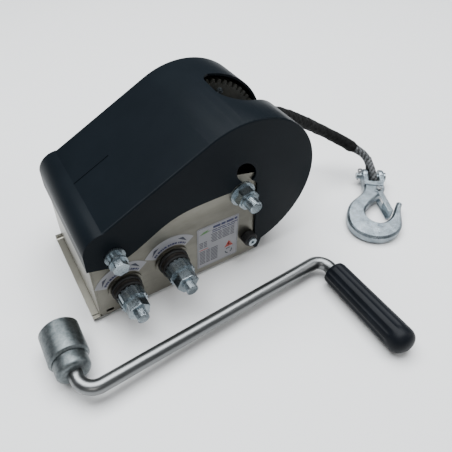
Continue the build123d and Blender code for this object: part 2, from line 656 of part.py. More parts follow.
def shaft_labels():
    """Arched stickers over the two input shafts."""
    parts = []
    for (x, z), low, high in ((SHAFTS["low"], 42, 158), (SHAFTS["high"], 42, 150)):
        middle = radians((low + high) / 2)
        a, b = radians(low), radians(high)
        band = outline(
            ThreePointArc(polar(34, a), polar(34, middle), polar(34, b)), Line(polar(34, b), polar(21, b)),
            ThreePointArc(polar(21, b), polar(21, middle), polar(21, a)), Line(polar(21, a), polar(34, a)))
        sticker = slab_xz(band, -FRAME_HALF_W - LABEL_T, -FRAME_HALF_W, x, z)
        bolt_x, bolt_z = COVER_BOLT_AT
        sticker -= slab_xz(hood_side_face(), -FRAME_HALF_W - 1, -FRAME_HALF_W + 1)
        parts.append(sticker - cyl_y(11.0, -FRAME_HALF_W - 1, -FRAME_HALF_W + 1, bolt_x, bolt_z))
    return group(parts)


# ---- crank ---------------------------------------------------------------------------------
def crank_socket():
    """Drive socket with a splined mouth that fits over the drive collars."""
    y0, y1 = SOCKET_Y
    body = cyl_y(SOCKET_R, y0, y1, SOCKET_X, SOCKET_Z)
    ends = body.edges().filter_by(GeomType.CIRCLE)
    body = chamfer(ends, 2.2)
    mouth = spline_face(COLLAR_R + 0.4, SPLINE_DEPTH, SPLINE_TEETH)
    return body - slab_xz(mouth, y0 + 6.0, y1 + 1, SOCKET_X, SOCKET_Z)


def crank_hub():
    hub = cyl_y(HUB_R, *HUB_Y, SOCKET_X, SOCKET_Z)
    front = hub.edges().filter_by(GeomType.CIRCLE).sort_by(Axis.Y)[0]
    hub = fillet(front, 5.0)
    return hub - cyl_y(BAR_R, HUB_Y[0] - 1, HUB_Y[1] + 1, SOCKET_X, SOCKET_Z)


def crank_arm():
    """One bent bar from the hub to the grip, turned down at its far end."""
    path = FilletPolyline(
        (SOCKET_X, HUB_Y[1], SOCKET_Z), (SOCKET_X, ARM_NEAR_Y, SOCKET_Z), (GRIP_X, ARM_FAR_Y, GRIP_Z),
        (GRIP_X, ARM_FAR_Y - 17.0, GRIP_Z), radius=[ARM_BEND_NEAR, ARM_BEND_FAR])
    start = Plane(origin=path @ 0, z_dir=path % 0)
    return sweep(start * Circle(BAR_R), path=path)


def grip_spindle():
    """Turned spindle with a riveted end washer inside the grip's cap."""
    y_root = ARM_FAR_Y - 17.0
    spindle = cyl_y(SPINDLE_R, GRIP_Y[0] + 9.0, y_root, GRIP_X, GRIP_Z)
    return spindle + cyl_y(SPINDLE_R + 3.0, GRIP_Y[0] + 7.0, GRIP_Y[0] + 9.0, GRIP_X, GRIP_Z)


def crank_grip():
    """Faceted grip that turns on its spindle, with a closed round cap."""
    y0, y1 = GRIP_Y
    facets = 10
    near = Plane(origin=(GRIP_X, y0 + 8.0, GRIP_Z), x_dir=(1, 0, 0), z_dir=(0, 1, 0))
    far = Plane(origin=(GRIP_X, y1, GRIP_Z), x_dir=(1, 0, 0), z_dir=(0, 1, 0))
    body = loft([near * RegularPolygon(GRIP_R, facets), far * RegularPolygon(GRIP_R - 1.6, facets)])
    body += cyl_y(GRIP_R * cos(pi / facets), y0, y0 + 8.0, GRIP_X, GRIP_Z)
    cap = body.edges().filter_by(GeomType.CIRCLE).sort_by(Axis.Y)[0]
    body = fillet(cap, 6.0)
    body -= cyl_y(SPINDLE_R + RUN_GAP, y0 + 9.0, y1 + 1, GRIP_X, GRIP_Z)
    return body - cyl_y(SPINDLE_R + 3.5, y0 + 6.5, y0 + 9.5, GRIP_X, GRIP_Z)


# ---- rope and hook -------------------------------------------------------------------------
def hook_plane():
    """The hook's own plane: X runs from the pin to the bowl, Z out of its upper face."""
    ux, uy = HOOK_DIR
    along = Vector(ux * cos(HOOK_DROP), uy * cos(HOOK_DROP), -sin(HOOK_DROP))
    across = Vector(-uy, ux, 0)
    return Plane(origin=PIN_AT, x_dir=along, z_dir=across.cross(along) * -1)


def rope_eye():
    """Neck of the rope and the loop that it makes round the clevis pin."""
    ux, uy = HOOK_DIR
    hole_r, length = PIN_R + EYE_GAP, 10.0
    rise = Vector(-ux * cos(EYE_RISE), -uy * cos(EYE_RISE), sin(EYE_RISE))
    pin = Vector(-uy, ux, 0)
    along = rise * cos(EYE_LEAN) - pin * sin(EYE_LEAN)
    through = pin * cos(EYE_LEAN) + rise * sin(EYE_LEAN)
    level = Plane(origin=PIN_AT, x_dir=along, z_dir=through)
    ring = Pos(length / 2, 0) * SlotCenterToCenter(length, 2 * (hole_r + EYE_T))
    ring -= Pos(length / 2, 0) * SlotCenterToCenter(length, 2 * hole_r)
    return cord_tube(NECK_ROUTE, ROPE_R) + extrude(level * ring, EYE_T / 2, both=True)


def hook_body():
    """Forged slip hook: two clevis ears, a shank, and a round bowl that ends in a raised tip."""
    plane = hook_plane()
    tip_out, tip_in = (49.5, 29.0), (49.0, 22.5)
    root_left, root_right = (20.0, -13.0), (20.0, 12.5)
    face = outline(
        Spline(root_left, (36, -17), (50, -29), (72, -37), (95, -31.5), (106, -12), (101.5, 10), (86, 23), (66, 25.5),
               tip_out),
        ThreePointArc(tip_out, (45.5, 26), tip_in),
        Spline(tip_in, (59, 18.5), (72, 13), (81, 1), (77, -11), (66, -15.5), (52, -9), (41, 0), (33, 8), root_right),
        Line(root_right, root_left))
    slab = extrude(plane * face, HOOK_T / 2, both=True)
    rims = slab.edges().group_by(Axis(PIN_AT, plane.z_dir))
    body = chamfer(rims[0] + rims[-1], HOOK_BEVEL)
    yoke_w = EAR_GAP + 2 * EAR_T
    half = yoke_w / 2
    eye_plane = Plane(origin=PIN_AT, x_dir=plane.x_dir, z_dir=plane.y_dir)
    root = polygon([(0, -half + 1.5), (9, -half + 1.0), (YOKE_END, -12.0), (YOKE_END, 10.5), (9, half - 1.0),
                    (0, half - 1.5)])
    clevis = extrude(plane * root, YOKE_H / 2, both=True)
    ears = extrude(eye_plane * Circle(EAR_R), half, both=True)
    clevis += fillet(ears.edges().filter_by(GeomType.CIRCLE), EAR_ROUND)
    gap_end = PIN_R + EYE_GAP + EYE_T + 2.2
    gap = extrude(eye_plane * (Pos(gap_end - 20, 0) * Rectangle(40, 60)), EAR_GAP / 2, both=True)
    body = body + (clevis - gap)
    body -= extrude(eye_plane * Circle(PIN_R), 40, both=True)
    return body - extrude(plane * (Pos(*LATCH_PIVOT) * Circle(RIVET_R)), HOOK_T, both=True)


def clevis_pin():
    """Headed pin through both ears, cross-drilled for its split pin."""
    plane = hook_plane()
    half = EAR_GAP / 2 + EAR_T
    axis = Plane(origin=PIN_AT, x_dir=plane.x_dir, z_dir=plane.y_dir)
    pin = extrude(axis * Circle(PIN_R), half + 6, both=True)
    pin &= extrude(axis.offset(-half - 6) * Circle(20), 2 * half + 8)
    pin += extrude(axis.offset(half) * Circle(PIN_R + 2), 2.5)
    return pin - split_pin_stem()


def split_pin_centre():
    return Vector(*PIN_AT) - hook_plane().y_dir * (EAR_GAP / 2 + EAR_T + 3.0)


def split_pin_stem():
    plane = hook_plane()
    stem = Plane(origin=split_pin_centre(), x_dir=plane.y_dir, z_dir=plane.z_dir)
    return extrude(stem * Circle(1.2), 7.0, both=True)


def split_pin():
    """Split pin through the clevis pin's plain end."""
    plane = hook_plane()
    ring = Plane(origin=split_pin_centre() + plane.z_dir * 9.2, x_dir=plane.z_dir, z_dir=plane.x_dir)
    return split_pin_stem() + extrude(ring * (Circle(3.0) - Circle(1.6)), 1.0, both=True)


LATCH_PIVOT = (29.0, 3.5)
LATCH_TIP = (64.0, 13.1)
RIVET_R = 2.0


def latch_rivet():
    plane = hook_plane()
    return extrude(plane * (Pos(*LATCH_PIVOT) * Circle(RIVET_R)), HOOK_T / 2 + 5.0, both=True)


def latch_spring():
    """Small torsion spring round the rivet, above the latch's upper cheek."""
    wire, pitch, turns = 0.5, 1.15, 2.0
    coil = Helix(pitch, pitch * turns, RIVET_R + wire + 0.15)
    body = sweep(Plane(origin=coil @ 0, z_dir=coil % 0) * Circle(wire), path=coil, is_frenet=True)
    return hook_plane().location * (Pos(*LATCH_PIVOT, HOOK_T / 2 + 2.4) * body)


def safety_latch():
    """Folded sheet latch whose free end rests inside the hook's tip."""
    plane = hook_plane()
    u0, v0 = LATCH_PIVOT
    u1, v1 = LATCH_TIP
    length = hypot(u1 - u0, v1 - v0)
    turn = degrees(atan2(v1 - v0, u1 - u0))
    cheek_face = Circle(4.8) + Pos(length / 2, 0) * Rectangle(length, 6.0) - Circle(RIVET_R + RUN_GAP)
    cheek = extrude(Rot(0, 0, turn) * cheek_face, 1.2)
    tongue = Pos(length * 0.71, 2.3, 0) * Box(length * 0.58, 1.4, HOOK_T + 3.2)
    latch = Rot(0, 0, turn) * tongue
    for z in (HOOK_T / 2 + 0.4, -HOOK_T / 2 - 1.6):
        latch += Pos(0, 0, z) * cheek
    return plane.location * (Pos(u0, v0, 0) * latch)


# ---- write every piece ---------------------------------------------------------------------
def build():
    high, low = SHAFTS["high"], SHAFTS["low"]
    return {
        "frame_channel": frame_channel(),
        "end_plate": end_plate(),
        "hood": hood(),
        "cover_bolts": cover_bolts(),
        "cover_nuts": cover_nuts(),
        "cover_collars": cover_collars(),
        "cover_screws": cover_screws(),
        "rating_label": rating_label(),
        "shaft_labels": shaft_labels(),
        "drum_axle": drum_axle(),
        "drum_axle_nut": drum_axle_nut(),
        "drum_axle_washers": drum_axle_washers(),
        "drum_core": drum_core(),
        "drum_flange": drum_flange(),
        "drum_gear": drum_gear(),
        "gear_bolts": gear_bolts(),
        "drum_bushes": drum_bushes(),
        "rope_winding": rope_winding(),
        "shaft_bushes": shaft_bushes(),
        "shaft_seals": shaft_seals(),
        "thrust_rings": thrust_rings(),
        "high_speed_shaft": input_shaft(*high),
        "high_shaft_clip": shaft_clip(*high),
        "high_drive_collar": drive_collar(*high),
        "high_shaft_nut": shaft_nut(*high, 5),
        "high_pinion": gear(HIGH_TEETH, HIGH_DIR + pi + pi / HIGH_TEETH, HIGH_PINION_Y, *high, SHAFT_R),
        "intermediate_gear": gear(MID_TEETH, LOW_DIR, MID_GEAR_Y, *high, SHAFT_R),
        "ratchet_wheel": ratchet_wheel(),
        "friction_discs": friction_discs(),
        "pressure_hubs": pressure_hubs(),
        "low_speed_shaft": input_shaft(*low),
        "low_shaft_clip": shaft_clip(*low),
        "low_drive_collar": drive_collar(*low),
        "low_shaft_nut": shaft_nut(*low, 20),
        "low_pinion": gear(LOW_TEETH, LOW_DIR + pi + pi / LOW_TEETH, LOW_PINION_Y, *low, SHAFT_R),
        "pawl": pawl(),
        "pawl_pin": pawl_pin(),
        "pawl_spring": pawl_spring(),
        "crank_socket": crank_socket(),
        "crank_hub": crank_hub(),
        "crank_arm": crank_arm(),
        "grip_spindle": grip_spindle(),
        "crank_grip": crank_grip(),
        "rope_tail": cord_tube(ROPE_ROUTE, SHEATH_R),
        "rope_eye": rope_eye(),
        "hook_body": hook_body(),
        "clevis_pin": clevis_pin(),
        "split_pin": split_pin(),
        "latch_rivet": latch_rivet(),
        "latch_spring": latch_spring(),
        "safety_latch": safety_latch(),
    }


os.makedirs("parts", exist_ok=True)
for node, shape in build().items():
    export_step(shape, f"parts/{node}.step")
print("rope tail radii", [round(r) for r in fillet_radii(ROPE_ROUTE)])
print("rope neck radii", [round(r) for r in fillet_radii(NECK_ROUTE)])
print("high shaft", round(HIGH_X, 3), round(HIGH_Z, 3), "low shaft", round(LOW_X, 3), round(LOW_Z, 3))
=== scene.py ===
"""Two-speed hand winch for a boat trailer: materials, rope, printing, lights and camera."""

import json
from math import ceil, cos, pi, radians, sin

import bpy
from mathutils import Matrix, Vector, noise


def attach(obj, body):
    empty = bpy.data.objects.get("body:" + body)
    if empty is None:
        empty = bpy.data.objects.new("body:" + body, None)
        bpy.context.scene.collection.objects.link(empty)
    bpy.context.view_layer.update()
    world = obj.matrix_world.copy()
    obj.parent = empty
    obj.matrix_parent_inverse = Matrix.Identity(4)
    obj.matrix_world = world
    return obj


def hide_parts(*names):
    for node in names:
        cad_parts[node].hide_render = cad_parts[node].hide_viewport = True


MM = 0.001

# ---- places that part.py also gives, in millimetres ----------------------------------------
DRUM_AXIS = (72.0, 101.0)
HIGH_AXIS = (-10.012, 45.994)
LOW_AXIS = (-63.009, 37.030)
FRONT_FACE_Y = -67.3
ROPE_ROUTE = [
    (91.0, 4.0, 154.5), (119.0, 4.5, 146.0), (148.0, 5.0, 132.5), (179.0, 7.5, 115.5),
    (209.0, 8.5, 94.5), (235.5, 8.5, 75.0), (255.5, 5.0, 60.5), (271.0, -3.0, 49.5), (283.0, -15.5, 41.0),
]
NECK_ROUTE = [
    (283.0, -15.5, 41.0), (289.8, -22.6, 36.1), (292.3, -27.9, 32.2), (292.8, -33.4, 28.0), (291.3, -38.7, 23.6),
]
PIN_AT = Vector((289.0, -48.0, 14.2))
EYE_RISE = radians(40.0)
EYE_LEAN = radians(13.0)
HOOK_DIR = (-0.6, -0.8)
SHEATH_R = 8.0
ROPE_R = 4.5
WINDING_R = 45.0
WINDING_Y = (-49.0, 21.5)
GRIP_AXIS = (143.0, 14.8)
GRIP_Y = (-246.0, -143.0)
GRIP_R = 14.6
THREAD_R = 6.0
SHAFT_TIP_Y = (-110.5, -102.0)
AXLE_THREAD_Y = (-92.0, -81.7)
AXLE_THREAD_R = 6.8

# ---- camera, in metres where nothing else is said ------------------------------------------
SENSOR_MM = 36.0
LENS_MM = 38.02
CAMERA_SHIFT = (0.1123, -0.0659)
CAMERA_PLACE = (-0.1380, -0.3545, 0.4275)
CAMERA_RIGHT = Vector((0.8854, -0.4628, -0.0434))
CAMERA_UP = Vector((0.3440, 0.5896, 0.7308))

# ---- rope details, in millimetres ----------------------------------------------------------
ROUTE_STEP = 1.2
FINE_STEP = 0.8
SHEATH_SIDES = 28
SHEATH_INSET = 0.9
SHEATH_CREASES = ((0.75, 1.6, 24.0), (0.25, 5.0, 70.0))  # height, ripples round, ripples along
MOUTH_START, MOUTH_SPAN, MOUTH_PINCH = 0.975, 0.025, 1.6
BRAID_STRANDS = 12
BRAID_SIDES = 6
BRAID_WAVE = 0.10
NECK_R, NECK_NARROWING, NECK_PITCH, NECK_STRAND_R = 4.6, 1.2, 18.0, 1.05
EYE_ROPE_R, EYE_PITCH, EYE_STRAND_R = 2.9, 16.0, 0.95
EYE_OUTLINE = [(24.0, 0.6), (17.0, 3.6), (8.0, 8.8), (-5.0, 10.3), (-12.2, 0.0), (-5.0, -10.3), (8.0, -8.8),
               (17.0, -3.6), (24.0, -0.6)]
WINDING_STEPS, WINDING_SIDES = 72, 14

# ---- threads and grip, in millimetres ------------------------------------------------------
THREAD_SIDES, THREAD_ROWS = 36, 8
THREAD_HEIGHT, THREAD_MIDDLE = 0.42, 0.35
SHAFT_PITCH, AXLE_PITCH = 1.5, 1.75
GRIP_ROWS, GRIP_SIDES, GRIP_CROWDING = 120, 120, 1.5
GRIP_INSET, GRIP_SWELL = 1.5, 1.3
CAP_SHARE, CAP_POWER, CAP_TIP_R = 0.12, 2.4, 0.05
FLUTES, FLUTE_DEPTH, FLUTE_POWER = 8, 0.9, 0.6
FLUTE_START, FLUTE_FADE = 0.14, 0.05
RIM_START, RIM_SPAN, RIM_PINCH = 0.97, 0.03, 0.8

# ---- edges that are rounded, width in millimetres ------------------------------------------
EDGE_WIDTHS = {"frame_channel": 0.5, "end_plate": 0.4, "hood": 1.6, "hook_body": 1.2, "crank_socket": 0.4,
               "crank_hub": 0.4, "safety_latch": 0.3, "high_shaft_nut": 0.3, "low_shaft_nut": 0.3}
EDGE_ANGLE = radians(38.0)
EDGE_SEGMENTS = 3
WELD_MM = 0.01


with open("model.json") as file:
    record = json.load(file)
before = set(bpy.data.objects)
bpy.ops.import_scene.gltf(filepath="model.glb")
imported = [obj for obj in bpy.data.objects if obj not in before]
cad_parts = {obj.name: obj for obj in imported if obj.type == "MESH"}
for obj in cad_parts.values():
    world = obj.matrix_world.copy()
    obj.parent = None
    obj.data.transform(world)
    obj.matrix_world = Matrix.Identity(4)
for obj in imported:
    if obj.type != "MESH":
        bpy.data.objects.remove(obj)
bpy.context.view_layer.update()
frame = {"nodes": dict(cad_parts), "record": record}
NODES = frame["nodes"]


def place_camera():
    """Camera above the front left, turned so that its axes are right, up and back."""
    data = bpy.data.cameras.new("camera")
    data.sensor_width = SENSOR_MM
    data.lens = LENS_MM
    data.shift_x, data.shift_y = CAMERA_SHIFT
    camera = bpy.data.objects.new("camera", data)
    back = CAMERA_RIGHT.cross(CAMERA_UP)
    turn = Matrix((CAMERA_RIGHT, CAMERA_UP, back)).transposed().to_4x4()
    camera.matrix_world = Matrix.Translation(CAMERA_PLACE) @ turn
    bpy.context.collection.objects.link(camera)
    bpy.context.scene.camera = camera


# ---- node materials ------------------------------------------------------------------------
WEAVE_SPECULAR = 0.15


def new_material(name):
    mat = bpy.data.materials.new(name)
    mat.use_nodes = True
    nodes, links = mat.node_tree.nodes, mat.node_tree.links
    return mat, nodes, links, nodes["Principled BSDF"]


def ramp(nodes, links, source, stops):
    node = nodes.new("ShaderNodeValToRGB")
    elements = node.color_ramp.elements
    while len(elements) < len(stops):
        elements.new(0.5)
    for element, (place, colour) in zip(elements, stops):
        element.position = place
        element.color = (*colour, 1.0)
    links.new(source, node.inputs[0])
    return node.outputs[0]


def coordinates(nodes, links, stretch, kind="Object"):
    where = nodes.new("ShaderNodeTexCoord")
    mapping = nodes.new("ShaderNodeMapping")
    mapping.inputs["Scale"].default_value = stretch
    links.new(where.outputs[kind], mapping.inputs["Vector"])
    return mapping.outputs["Vector"]


def noise_node(nodes, links, vector, scale, detail=5.0, rough=0.6):
    node = nodes.new("ShaderNodeTexNoise")
    node.inputs["Scale"].default_value = scale
    node.inputs["Detail"].default_value = detail
    node.inputs["Roughness"].default_value = rough
    links.new(vector, node.inputs["Vector"])
    return node.outputs["Fac"]


def spread(nodes, links, source, low, high):
    node = nodes.new("ShaderNodeMapRange")
    node.inputs["From Min"].default_value = 0.3
    node.inputs["From Max"].default_value = 0.7
    node.inputs["To Min"].default_value = low
    node.inputs["To Max"].default_value = high
    links.new(source, node.inputs["Value"])
    return node.outputs["Result"]


def bump(nodes, links, shader, height, strength, depth):
    node = nodes.new("ShaderNodeBump")
    node.inputs["Strength"].default_value = strength
    node.inputs["Distance"].default_value = depth
    links.new(height, node.inputs["Height"])
    links.new(node.outputs["Normal"], shader.inputs["Normal"])


def surface(name, dark, light, metallic, rough, patch, grain, depth, strength=0.3, stretch=(1, 1, 1), sheen=0.0,
            specular=0.5):
    """A material with patchy colour, uneven gloss and a fine grain."""
    mat, nodes, links, shader = new_material(name)
    vector = coordinates(nodes, links, stretch)
    broad = noise_node(nodes, links, vector, patch)
    fine = noise_node(nodes, links, vector, grain, 8.0, 0.7)
    links.new(ramp(nodes, links, broad, [(0.3, dark), (0.7, light)]), shader.inputs["Base Color"])
    links.new(spread(nodes, links, fine, *rough), shader.inputs["Roughness"])
    shader.inputs["Metallic"].default_value = metallic
    shader.inputs["Sheen Weight"].default_value = sheen
    shader.inputs["Specular IOR Level"].default_value = specular
    bump(nodes, links, shader, fine, strength, depth)
    return mat


def bands(nodes, links, vector, angle, scale):
    """Parallel ribs at an angle across the surface's own coordinates."""
    turn = nodes.new("ShaderNodeMapping")
    turn.inputs["Rotation"].default_value = (0.0, 0.0, angle)
    links.new(vector, turn.inputs["Vector"])
    wave = nodes.new("ShaderNodeTexWave")
    wave.inputs["Scale"].default_value = scale
    wave.inputs["Distortion"].default_value = 0.6
    wave.inputs["Detail Scale"].default_value = 3.0
    links.new(turn.outputs["Vector"], wave.inputs["Vector"])
    return wave.outputs["Fac"]


def weave(name, stops, rough, scale, depth, sheen):
    """Braided cover: two crossing sets of ribs on coordinates that run along the rope."""
    mat, nodes, links, shader = new_material(name)
    vector = coordinates(nodes, links, (1, 1, 1), "UV")
    one = bands(nodes, links, vector, pi / 4, scale)
    two = bands(nodes, links, vector, -pi / 4, scale)
    higher = nodes.new("ShaderNodeMath")
    higher.operation = "MAXIMUM"
    links.new(one, higher.inputs[0])
    links.new(two, higher.inputs[1])
    fibres = noise_node(nodes, links, vector, scale * 5.0, 6.0, 0.7)
    blend = nodes.new("ShaderNodeMix")
    blend.inputs["Factor"].default_value = 0.45
    links.new(higher.outputs[0], blend.inputs["A"])
    links.new(fibres, blend.inputs["B"])
    links.new(ramp(nodes, links, blend.outputs["Result"], stops), shader.inputs["Base Color"])
    links.new(spread(nodes, links, fibres, *rough), shader.inputs["Roughness"])
    shader.inputs["Sheen Weight"].default_value = sheen
    shader.inputs["Specular IOR Level"].default_value = WEAVE_SPECULAR
    bump(nodes, links, shader, blend.outputs["Result"], 0.8, depth)
    return mat


def ink_material():
    mat, nodes, links, shader = new_material("printing ink")
    colour = nodes.new("ShaderNodeVertexColor")
    colour.layer_name = "ink"
    links.new(colour.outputs["Color"], shader.inputs["Base Color"])
    vector = coordinates(nodes, links, (1, 1, 1))
    fine = noise_node(nodes, links, vector, 900.0)
    links.new(spread(nodes, links, fine, 0.35, 0.5), shader.inputs["Roughness"])
    return mat


MATERIALS = {
    "zinc_sheet": surface("satin zinc sheet", (0.145, 0.139, 0.117), (0.205, 0.197, 0.168), 1.0, (0.27, 0.40),
                          22.0, 600.0, 0.00008, 0.25, (1, 1, 3.0)),
    "bright_zinc": surface("bright zinc", (0.22, 0.26, 0.285), (0.37, 0.42, 0.45), 1.0, (0.22, 0.34), 60.0,
                           1400.0, 0.0001, 0.35),
    "dark_zinc": surface("dull dark zinc", (0.075, 0.088, 0.092), (0.17, 0.19, 0.195), 1.0, (0.30, 0.48), 260.0,
                         1300.0, 0.0003, 0.8),
    "cast_zinc": surface("forged zinc", (0.12, 0.145, 0.165), (0.30, 0.345, 0.375), 1.0, (0.20, 0.40), 110.0,
                         1100.0, 0.0004, 0.8),
    "polished_bar": surface("drawn bar", (0.135, 0.14, 0.142), (0.235, 0.24, 0.24), 1.0, (0.27, 0.39), 60.0,
                            900.0, 0.00005, 0.25, (0.06, 1, 1)),
    "gear_steel": surface("phosphated steel", (0.022, 0.0225, 0.019), (0.05, 0.05, 0.043), 0.5, (0.42, 0.6),
                          60.0, 900.0, 0.00012, 0.4),
    "dark_steel": surface("oiled steel", (0.07, 0.07, 0.072), (0.14, 0.14, 0.145), 0.9, (0.3, 0.5), 80.0,
                          900.0, 0.0001, 0.4),
    "spring_steel": surface("spring wire", (0.25, 0.25, 0.26), (0.4, 0.4, 0.41), 1.0, (0.2, 0.35), 90.0,
                            1400.0, 0.00005),
    "bronze": surface("sintered bronze", (0.020, 0.017, 0.015), (0.045, 0.038, 0.033), 0.7, (0.36, 0.5), 120.0,
                      1500.0, 0.0001, 0.5),
    "black_hood_plastic": surface("satin black plastic", (0.0040, 0.0060, 0.0082), (0.0060, 0.0086, 0.0114), 0.0,
                                  (0.33, 0.44), 9.0, 1500.0, 0.00012, 0.22, specular=0.045),
    "black_grip_plastic": surface("black grip plastic", (0.0030, 0.0040, 0.0058), (0.0055, 0.0070, 0.0100), 0.0,
                                  (0.40, 0.50), 40.0, 1300.0, 0.0001, 0.25, specular=0.10),
    "black_rubber": surface("matt rubber", (0.005, 0.005, 0.005), (0.012, 0.012, 0.012), 0.0, (0.5, 0.7), 90.0,
                            1100.0, 0.0001, 0.4, specular=0.3),
    "printed_label": surface("label film", (0.215, 0.215, 0.23), (0.27, 0.27, 0.285), 0.2, (0.30, 0.42), 30.0,
                             900.0, 0.00002, 0.2),
    "friction_lining": surface("brake lining", (0.07, 0.055, 0.045), (0.13, 0.10, 0.08), 0.0, (0.7, 0.85),
                               200.0, 1200.0, 0.0002, 0.5),
    "rope_sheath": weave("woven sleeve", [(0.25, (0.0008, 0.0008, 0.0009)), (0.85, (0.0042, 0.0044, 0.0048))],
                         (0.62, 0.8), 2.2, 0.0008, 0.0),
    "braided_rope": weave("braided rope", [(0.35, (0.010, 0.011, 0.013)), (0.62, (0.07, 0.073, 0.077)),
                                           (0.9, (0.24, 0.25, 0.26))], (0.5, 0.7), 3.0, 0.0005, 0.1),
}
STRAND_DARK = surface("dark strand", (0.004, 0.0045, 0.005), (0.014, 0.015, 0.017), 0.0, (0.5, 0.7), 300.0, 2500.0,
                      0.0002, 0.6, sheen=0.1)
STRAND_PALE = surface("grey strand", (0.035, 0.037, 0.04), (0.17, 0.176, 0.184), 0.0, (0.5, 0.7), 260.0, 2500.0,
                      0.0002, 0.6, sheen=0.1)
INK = ink_material()


def paint_nodes():
    for part in frame["record"]["subparts"]:
        mesh = NODES[part["node"]].data
        mesh.materials.clear()
        mesh.materials.append(MATERIALS[part["material_slot"]])


# ---- lines and tubes -----------------------------------------------------------------------
def smooth_line(points_mm, step_mm):
    """Even points, in metres, on the smooth spline that the route's points control."""
    curve = bpy.data.curves.new("route", "CURVE")
    curve.dimensions = "3D"
    curve.resolution_u = 32
    spline = curve.splines.new("NURBS")
    spline.points.add(len(points_mm) - 1)
    for point, place in zip(spline.points, points_mm):
        point.co = (*(MM * v for v in place), 1.0)
    spline.order_u = 3
    spline.use_endpoint_u = True
    route = bpy.data.objects.new("route", curve)
    mesh = bpy.data.meshes.new_from_object(route)
    line = [vertex.co.copy() for vertex in mesh.vertices]
    bpy.data.objects.remove(route)
    bpy.data.curves.remove(curve)
    bpy.data.meshes.remove(mesh)
    return even(line, step_mm * MM)


def even(line, step):
    """The same line with points a fixed step apart."""
    reach = [0.0]
    for a, b in zip(line, line[1:]):
        reach.append(reach[-1] + (b - a).length)
    count = max(2, ceil(reach[-1] / step))
    points, at = [], 0
    for k in range(count + 1):
        target = reach[-1] * k / count
        while at < len(line) - 2 and reach[at + 1] < target:
            at += 1
        share = (target - reach[at]) / max(reach[at + 1] - reach[at], 1e-9)
        points.append(line[at].lerp(line[at + 1], share))
    return points


def length_of(line):
    return sum((b - a).length for a, b in zip(line, line[1:]))


def frames_along(line):
    """Tangent, side and top directions that turn as little as possible along the line."""
    frames, side = [], None
    for k, point in enumerate(line):
        tangent = (line[min(k + 1, len(line) - 1)] - line[max(k - 1, 0)]).normalized()
        if side is None:
            side = tangent.orthogonal().normalized()
        side = (side - tangent * side.dot(tangent)).normalized()
        frames.append((point, side, tangent.cross(side)))
    return frames


def piece(name, vertices, faces, materials, body, uvs=None, face_slots=None):
    mesh = bpy.data.meshes.new(name)
    mesh.from_pydata([tuple(v) for v in vertices], [], faces)
    for mat in materials:
        mesh.materials.append(mat)
    mesh.polygons.foreach_set("use_smooth", [True] * len(mesh.polygons))
    if face_slots:
        mesh.polygons.foreach_set("material_index", face_slots)
    if uvs:
        layer = mesh.uv_layers.new(name="along")
        for polygon, corners in zip(mesh.polygons, uvs):
            for loop, uv in zip(polygon.loop_indices, corners):
                layer.data[loop].uv = uv
    mesh.update()
    obj = bpy.data.objects.new(name, mesh)
    bpy.context.collection.objects.link(obj)
    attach(obj, body)
    return obj


def tube_mesh(line, sides, radius_at, turns=0.0):
    """Vertices, faces and UVs of a closed tube; radius_at takes the share along and the angle."""
    vertices, faces, uvs = [], [], []
    last = len(line) - 1
    total = length_of(line)
    for k, (point, side, top) in enumerate(frames_along(line)):
        for j in range(sides):
            angle = 2 * pi * (j / sides + turns * k / last)
            radius = radius_at(k / last, angle)
            vertices.append(point + side * (radius * cos(angle)) + top * (radius * sin(angle)))
    around = 2 * pi * radius_at(0.5, 0.0)
    for k in range(last):
        v0, v1 = total * k / last / around, total * (k + 1) / last / around
        for j in range(sides):
            n = (j + 1) % sides
            faces.append((k * sides + j, k * sides + n, (k + 1) * sides + n, (k + 1) * sides + j))
            u0, u1 = j / sides, (j + 1) / sides
            uvs.append(((u0, v0), (u1, v0), (u1, v1), (u0, v1)))
    faces.append(tuple(reversed(range(sides))))
    uvs.append([(0.5, 0.0)] * sides)
    faces.append(tuple(last * sides + j for j in range(sides)))
    uvs.append([(0.5, total / around)] * sides)
    return vertices, faces, uvs


def braid(name, line, radius_at, pitch, strand_r, body):
    """Strands wound both ways round a line, each passing over and under the other set."""
    vertices, faces, slots = [], [], []
    frames = frames_along(line)
    step = length_of(line) / (len(line) - 1)
    half = BRAID_STRANDS // 2
    for k in range(BRAID_STRANDS):
        way = 1 if k % 2 else -1
        start = 2 * pi * (k // 2) / half
        path = []
        for i, (point, side, top) in enumerate(frames):
            angle = start + way * 2 * pi * i * step / pitch
            wave = BRAID_WAVE * way * cos(half * 2 * pi * i * step / pitch)
            radius = radius_at(i / (len(frames) - 1)) * (1 + wave)
            path.append(point + side * (radius * cos(angle)) + top * (radius * sin(angle)))
        tube_v, tube_f, _ = tube_mesh(path, BRAID_SIDES, lambda share, angle: strand_r)
        base = len(vertices)
        vertices += tube_v
        faces += [tuple(base + n for n in face) for face in tube_f]
        slots += [(k // 2 + (way > 0)) % 2] * len(tube_f)
    return piece(name, vertices, faces, [STRAND_DARK, STRAND_PALE], body, None, slots)


# ---- rope ----------------------------------------------------------------------------------
def sheath_radius(share, angle):
    """Creased sleeve that pinches in at its hook end."""
    crease = 0.0
    for height, around, along in SHEATH_CREASES:
        crease += height * noise.noise(Vector((around * cos(angle), around * sin(angle), along * share)))
    mouth = MOUTH_PINCH * max(0.0, (share - MOUTH_START) / MOUTH_SPAN) ** 2
    return MM * (SHEATH_R - SHEATH_INSET + crease - mouth)


